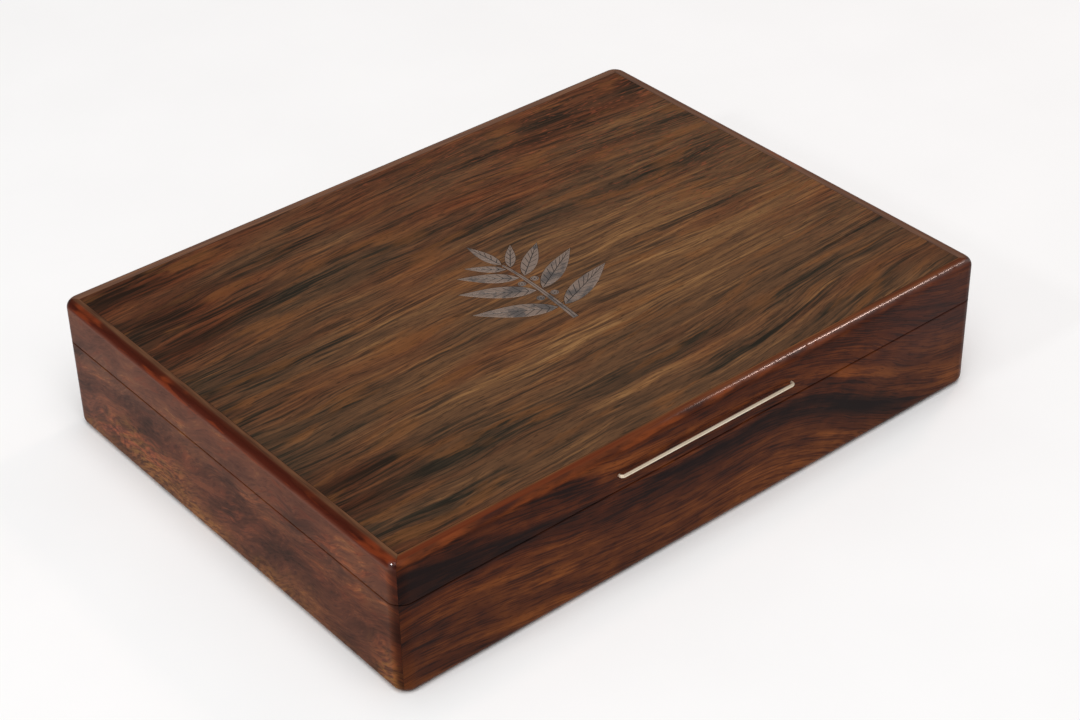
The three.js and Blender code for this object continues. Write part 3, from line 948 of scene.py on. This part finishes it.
def make_plain_wood(name, dark, light, seed, roughness):
    """An oiled or bare wood with a quiet grain along X."""
    finish = Finish(name)
    x, y, _ = place_in_mm(finish)
    line = y + 5 * (streaks(finish, x, y, 90, 30, seed) - 0.5)
    broad = streaks(finish, x, line, 130, 6, seed + 2.2, detail=3)
    fine = streaks(finish, x, line, 18, 0.7, seed + 4.4, detail=3, roughness=0.6)
    tone = 0.5 + 1.3 * (broad - 0.5) + 0.8 * (fine - 0.5)
    colour = finish.mix(clamped(tone), dark, light)
    pore = pores(finish, x, line, seed + 6.6)
    colour = finish.mix(0.45 * pore, colour, dark)
    return finish.close(
        Base_Color=colour,
        Roughness=roughness + 0.1 * (0.5 - fine),
        Specular_IOR_Level=0.3,
        Normal=shallow_bump(finish, 0.7 * fine - 0.7 * pore, 0.5),
    )


bottom_board = make_plain_wood(
    "bottom_board", paint(112, 78, 48), paint(164, 122, 80), seed=83.3, roughness=0.6,
)
tongue_wood = make_plain_wood(
    "tongue_wood", paint(168, 128, 84), paint(206, 168, 120), seed=91.1, roughness=0.7,
)

# %% [markdown]
# Hinge and screws are satin brass, and the lift bar is silver that has kept its polish where
# fingers rub it. Its silver isn't fully metallic here, because most of what it would mirror
# is the dark room behind the camera.

# %% Make the metals


def make_metal(name, colour, shade, roughness, cloud_size, seed, rubbed, metallic=1.0):
    """A metal with cloudy tarnish, and rubbing marks along X as deep as rubbed says."""
    finish = Finish(name)
    x, y, z = place_in_mm(finish)
    clouds = noise(finish, finish.vector(x + seed, y, z), 1 / cloud_size, detail=4)
    rubbing = noise(finish, finish.vector(x * 0.5, y * 6, z * 6 + seed), 1, detail=2)
    tarnish = spread(clouds, 2.4)
    return finish.close(
        Base_Color=finish.mix(tarnish, colour, shade),
        Metallic=metallic,
        Roughness=roughness + 0.1 * (tarnish - 0.5) + 0.4 * rubbed * (rubbing - 0.5),
        Normal=shallow_bump(finish, rubbing, rubbed),
    )


hinge_brass = make_metal(
    "hinge_brass", paint(188, 152, 84), paint(142, 108, 58),
    roughness=0.38, cloud_size=9, seed=3, rubbed=0.25,
)
bar_silver = make_metal(
    "bar_silver", paint(243, 227, 203), paint(228, 209, 182),
    roughness=0.34, cloud_size=12, seed=7, rubbed=0.02, metallic=0.65,
)

# %% [markdown]
# The sprig in the lid is silver that has gone a dull brownish grey, with darker patches
# where the tarnish is thick. Its engraved lines are filled with black. The attribute
# called engraved is 1 at the bottom of a cut line and 0 on the surface.

# %% Make the inlay's silver
TARNISH_SIZE = 9


def make_inlay_silver():
    """Dull silver with darker patches and black in its engraved lines."""
    finish = Finish("inlay_silver")
    x, y, z = place_in_mm(finish)
    place = finish.vector(x, y, z)
    clouds = noise(finish, place, 1 / TARNISH_SIZE, detail=5, roughness=0.62)
    grit = noise(finish, finish.vector(x, y * 3, z), 1.6, detail=3)
    tarnish = ease(clouds + 0.12 * ease(y, 0, -30), 0.52, 0.66)
    colour = finish.mix(spread(grit, 2), paint(124, 106, 96), paint(148, 129, 116))
    colour = finish.mix(0.75 * tarnish, colour, paint(66, 66, 68))
    engraved = finish.node("Attribute", {"attribute_name": "engraved"}, output=2)
    line = ease(engraved, 0.15, 0.6)
    colour = finish.mix(line, colour, paint(30, 27, 26))
    return finish.close(
        Base_Color=colour,
        Metallic=0.35 * (1 - line),
        Roughness=0.42 + 0.2 * tarnish + 0.1 * line,
        Normal=shallow_bump(finish, grit, 0.3),
    )


inlay_silver = make_inlay_silver()

# %% [markdown]
# ## Dressing the solids
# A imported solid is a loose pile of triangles. A Weld modifier joins them and an Edge Split
# modifier keeps the creases that are sharper than 30 degrees, so that smooth shading rounds
# what is round. The mesh itself stays as it is.

# %% Dress every node
CREASE = math.radians(30)
WELD_REACH = 0.002 * MM

finishes = {
    "base_front_wall": rosewood_front,
    "lid_front_wall": rosewood_front,
    "base_back_wall": rosewood_back,
    "lid_back_wall": rosewood_back,
    "base_left_wall": rosewood_left,
    "lid_left_wall": rosewood_left,
    "base_right_wall": rosewood_right,
    "lid_right_wall": rosewood_right,
    "lid_panel": rosewood_top,
    "base_panel": bottom_board,
    "lift_bar": bar_silver,
}


def finish_for(name):
    """The material of a node, by its name."""
    if name in finishes:
        return finishes[name]
    if "tongue" in name:
        return tongue_wood
    if "hinge" in name:
        return hinge_brass
    return inlay_silver


def dress(piece, material):
    """Gives a piece one material and smooth shading."""
    piece.data.materials.clear()
    piece.data.materials.append(material)
    for face in piece.data.polygons:
        face.use_smooth = True


for name, node in nodes.items():
    dress(node, finish_for(name))
    weld = node.modifiers.new("weld", "WELD")
    weld.merge_threshold = WELD_REACH
    crease = node.modifiers.new("creases", "EDGE_SPLIT")
    crease.split_angle = CREASE
print("dressed", len(nodes), "nodes")

# %% [markdown]
# ## The engraved sprig
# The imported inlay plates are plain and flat. Real ones are engraved: a line runs down the
# middle of a leaf and side veins lean towards its tip. Painted lines would vanish in a close
# view, so each plate is made anew, in the same outline and as thick as before. First, the
# foot and the tip of a packed leaf are found again.

# %% Find where a leaf lies
PLATE_THICKNESS = panel_high.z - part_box("inlay_stem")[0].z
stem_middle = sum((Vector(corner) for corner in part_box("inlay_stem")), Vector()) / 2


def packed_corners(name):
    """The places of a packed plate's corners as seen from above, each once."""
    return {(round(v.co.x, 6), round(v.co.y, 6)) for v in nodes[name].data.vertices}


def leaf_line(name):
    """The foot and tip of a packed leaf, its corners farthest apart, and its half width."""
    corners = packed_corners(name)
    ends = max(
        ((Vector(a), Vector(b)) for a in corners for b in corners),
        key=lambda pair: (pair[1] - pair[0]).length,
    )
    along = (ends[1] - ends[0]).normalized()
    reach = [abs((Vector(corner) - ends[0]).cross(along)) for corner in corners]
    foot, tip = sorted(ends, key=lambda end: abs(end.x - stem_middle.x))
    if name.endswith("tip"):
        foot, tip = sorted(ends, key=lambda end: end.y)
    return foot, tip, max(reach)


foot, tip, half_width = leaf_line("inlay_leaf_left_1")
print("first leaf:", round((tip - foot).length * PER_METRE, 1), "mm long,",
      round(2 * half_width * PER_METRE, 1), "mm wide")

# %% [markdown]
# A plate starts as an open sheet that has its place and its cut lines. Its rim is then
# extruded down and the loop at the bottom is filled, which closes it. It replaces the packed
# plate of the same name and rides on the lid.

# %% Close a plate and put it in the lid
ENGRAVED_DEPTH = 0.13 * MM
ENGRAVED_HALF_WIDTH = 0.26 * MM
RIM_DROP = 0.05 * MM


def make_object(name, shape, material):
    """An object with the finished bmesh as its mesh."""
    piece = bpy.data.objects.new(name, bpy.data.meshes.new(name))
    shape.to_mesh(piece.data)
    shape.free()
    piece.data.materials.append(material)
    bpy.context.scene.collection.objects.link(piece)
    return piece


def close_plate(plate, top):
    """Turns an open top face into a plate with walls and an underside."""
    rim = [edge for edge in plate.edges if edge.is_boundary]
    walls = bmesh.ops.extrude_edge_only(plate, edges=rim)["geom"]
    for vert in walls:
        if isinstance(vert, bmesh.types.BMVert):
            vert.co.z = top - PLATE_THICKNESS
    edges = [part for part in walls if isinstance(part, bmesh.types.BMEdge)]
    below = [edge for edge in edges if edge.is_boundary]
    bmesh.ops.edgeloop_fill(plate, edges=below)
    bmesh.ops.recalc_face_normals(plate, faces=plate.faces)


def finish_plate(plate, name, top):
    """Closes a plate and lets it take the place of a packed one."""
    close_plate(plate, top)
    piece = make_object(name + "_engraved", plate, inlay_silver)
    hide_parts(name)
    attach(piece, "lid")
    return piece


print("plates are", round(PLATE_THICKNESS * PER_METRE, 2), "mm thick")

# %% [markdown]
# A leaf is a grid whose rows are the veins. The rows start on the middle line and lean
# forward, and every vein has one row that is pressed down. The columns run from one rim to
# the other, and the middle one is pressed down too.

# %% Lay out the grid of a leaf
VEIN_SPACING = 3.1 * MM
VEIN_LEAN = 0.75
VEIN_REACH = 0.9
WIDEST_POWER = 0.75
MERGE_REACH = 0.005 * MM
MIDRIB_SIDE = 0.1
MIDRIB_WIDEST = 0.2
RIM_COLUMNS = [0.3, 0.55, 0.8, 0.96, 1]
LEAF_COLUMNS = [
    *[-share for share in reversed(RIM_COLUMNS)], -MIDRIB_SIDE, 0, MIDRIB_SIDE, *RIM_COLUMNS,
]


def vein_rows(length):
    """Rows along a leaf as pairs: the share of its length, and True in a vein's bottom."""
    count = max(2, round(length / VEIN_SPACING))
    edge = ENGRAVED_HALF_WIDTH / length
    rows = [(0, False)]
    for i in range(1, count + 1):
        middle = i / (count + 1)
        rows += [(middle - 0.5 / (count + 1), False), (middle - edge, False)]
        rows += [(middle, True), (middle + edge, False)]
    return [*rows, (1 - 0.4 / (count + 1), False), (1, False)]


def start_plate():
    """An empty bmesh and the layer that becomes the attribute called engraved."""
    plate = bmesh.new()
    return plate, plate.verts.layers.float.new("engraved")


def place_in_grid(plate, rows, columns):
    """Adds a grid to an empty bmesh, and gives each corner with its row and column."""
    row_steps, column_steps = len(rows) - 1, len(columns) - 1
    bmesh.ops.create_grid(plate, x_segments=row_steps, y_segments=column_steps, size=0.5)
    for vert in plate.verts:
        row = rows[round((vert.co.x + 0.5) * row_steps)]
        column = columns[round((vert.co.y + 0.5) * column_steps)]
        yield vert, row, column


print(len(vein_rows(20 * MM)), "rows in a leaf of 20 mm, and", len(LEAF_COLUMNS), "columns")

# %% [markdown]
# Now every corner of the grid is moved to its place in the leaf. The two columns beside the
# middle one stay close to it, so that the midrib is a line of even width, and the rim drops
# a little, which breaks its sharp edge.

# %% Make the leaves


def make_leaf(name):
    """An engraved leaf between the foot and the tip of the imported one."""
    foot, tip, half_width = leaf_line(name)
    length = (tip - foot).length
    along = (tip - foot) / length
    aside = Vector((-along.y, along.x))
    plate, engraved = start_plate()
    for vert, row, column in place_in_grid(plate, vein_rows(length), LEAF_COLUMNS):
        share, is_vein = row
        at_rim = share + VEIN_LEAN * share * (1 - share)
        width = half_width * math.sin(math.pi * at_rim ** WIDEST_POWER)
        if abs(column) == MIDRIB_SIDE:
            side = min(MIDRIB_WIDEST, ENGRAVED_HALF_WIDTH / max(width, MM))
            column = math.copysign(side, column)
        reach = abs(column)
        place = foot + along * length * (share + (at_rim - share) * reach)
        place += aside * width * column
        in_midrib = column == 0 and 0 < share < 1
        in_vein = is_vein and reach < VEIN_REACH
        vert[engraved] = 1 if in_midrib or in_vein else 0
        drop = ENGRAVED_DEPTH * vert[engraved] + RIM_DROP * (reach == 1)
        vert.co = (place.x, place.y, panel_high.z - drop)
    bmesh.ops.remove_doubles(plate, verts=plate.verts, dist=MERGE_REACH)
    return finish_plate(plate, name, panel_high.z)


leaves = [make_leaf(name) for name in sorted(nodes) if name.startswith("inlay_leaf")]
print(len(leaves), "leaves,", sum(len(leaf.data.polygons) for leaf in leaves), "faces")

# %% [markdown]
# The stem has one line cut down its middle. Its packed outline has a corner on either side
# of every row, so the rows are found again by sorting the corners from the foot to the tip.
# Two more rows lie close to the ends, where the cut line runs out.

# %% Make the stem
LINE_RUN_OUT = 0.2
STEM_COLUMNS = [-1, -0.8, -0.2, 0, 0.2, 0.8, 1]


def stem_rows():
    """The left and right corner of every row, from the foot to the tip."""
    by_height = sorted(packed_corners("inlay_stem"), key=lambda corner: corner[1])
    pairs = [sorted(by_height[i:i + 2]) for i in range(0, len(by_height), 2)]
    rows = [[Vector(corner) for corner in pair] for pair in pairs]
    for end, beside in ((0, 1), (-1, -2)):
        near = [a.lerp(b, LINE_RUN_OUT) for a, b in zip(rows[end], rows[beside])]
        rows.insert(beside if end == 0 else len(rows) - 1, near)
    return rows


def make_stem():
    """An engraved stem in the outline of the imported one."""
    rows = stem_rows()
    plate, engraved = start_plate()
    for vert, row, column in place_in_grid(plate, range(len(rows)), STEM_COLUMNS):
        left, right = rows[row]
        vert[engraved] = 1 if column == 0 and 0 < row < len(rows) - 1 else 0
        drop = ENGRAVED_DEPTH * vert[engraved] + RIM_DROP * (abs(column) == 1)
        vert.co = (*left.lerp(right, (column + 1) / 2), panel_high.z - drop)
    return finish_plate(plate, "inlay_stem", panel_high.z)


stem = make_stem()
print("stem of", len(stem.data.polygons), "faces in", len(stem_rows()), "rows")

# %% [markdown]
# A berry is a round plate with a ring cut into it. Five insets of one disc give a flat rim,
# the two sides of the ring, a flat middle and a dimple.

# %% Make the berries
BERRY_SEGMENTS = 40
# Each inset: how far in, in millimetres, and 1 where the disc is then pressed down.
RING_INSETS = [(0.3, 0), (0.14, 1), (0.14, 0), (0.5, 0), (0.14, 1)]


def make_berry(name):
    """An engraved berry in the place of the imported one."""
    low, high = (Vector(corner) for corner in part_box(name))
    plate, engraved = start_plate()
    radius = (high.x - low.x) / 2
    bmesh.ops.create_circle(plate, cap_ends=True, segments=BERRY_SEGMENTS, radius=radius)
    for vert in plate.verts:
        vert.co.z = -RIM_DROP
    disc = plate.faces[:]
    for thickness, cut in RING_INSETS:
        bmesh.ops.inset_individual(plate, faces=disc, thickness=thickness * MM)
        for vert in disc[0].verts:
            vert.co.z = -ENGRAVED_DEPTH * cut
            vert[engraved] = cut
    centre = ((low.x + high.x) / 2, (low.y + high.y) / 2, high.z)
    bmesh.ops.translate(plate, verts=plate.verts, vec=centre)
    return finish_plate(plate, name, high.z)


berries = [make_berry(name) for name in sorted(nodes) if name.startswith("inlay_berry")]
print(len(berries), "berries")

# %% [markdown]
# ## The paper
# The box stands on a large sheet of white paper. It is a flat square with faint clouds, so
# wide that it fills every view from above.

# %% Lay the paper
PAPER_HALF_WIDTH = 6


def make_paper_white():
    """White with faint clouds."""
    finish = Finish("white_paper")
    place = finish.node("TexCoord", output=3)
    clouds = noise(finish, place, 14, detail=4)
    colour = finish.mix(spread(clouds, 2), paint(249, 249, 249), paint(252, 252, 252))
    return finish.close(Base_Color=colour, Roughness=0.9, Specular_IOR_Level=0.1)


sheet = bmesh.new()
bmesh.ops.create_grid(sheet, x_segments=1, y_segments=1, size=PAPER_HALF_WIDTH)
paper = make_object("paper", sheet, make_paper_white())
print("paper", 2 * PAPER_HALF_WIDTH, "m wide")
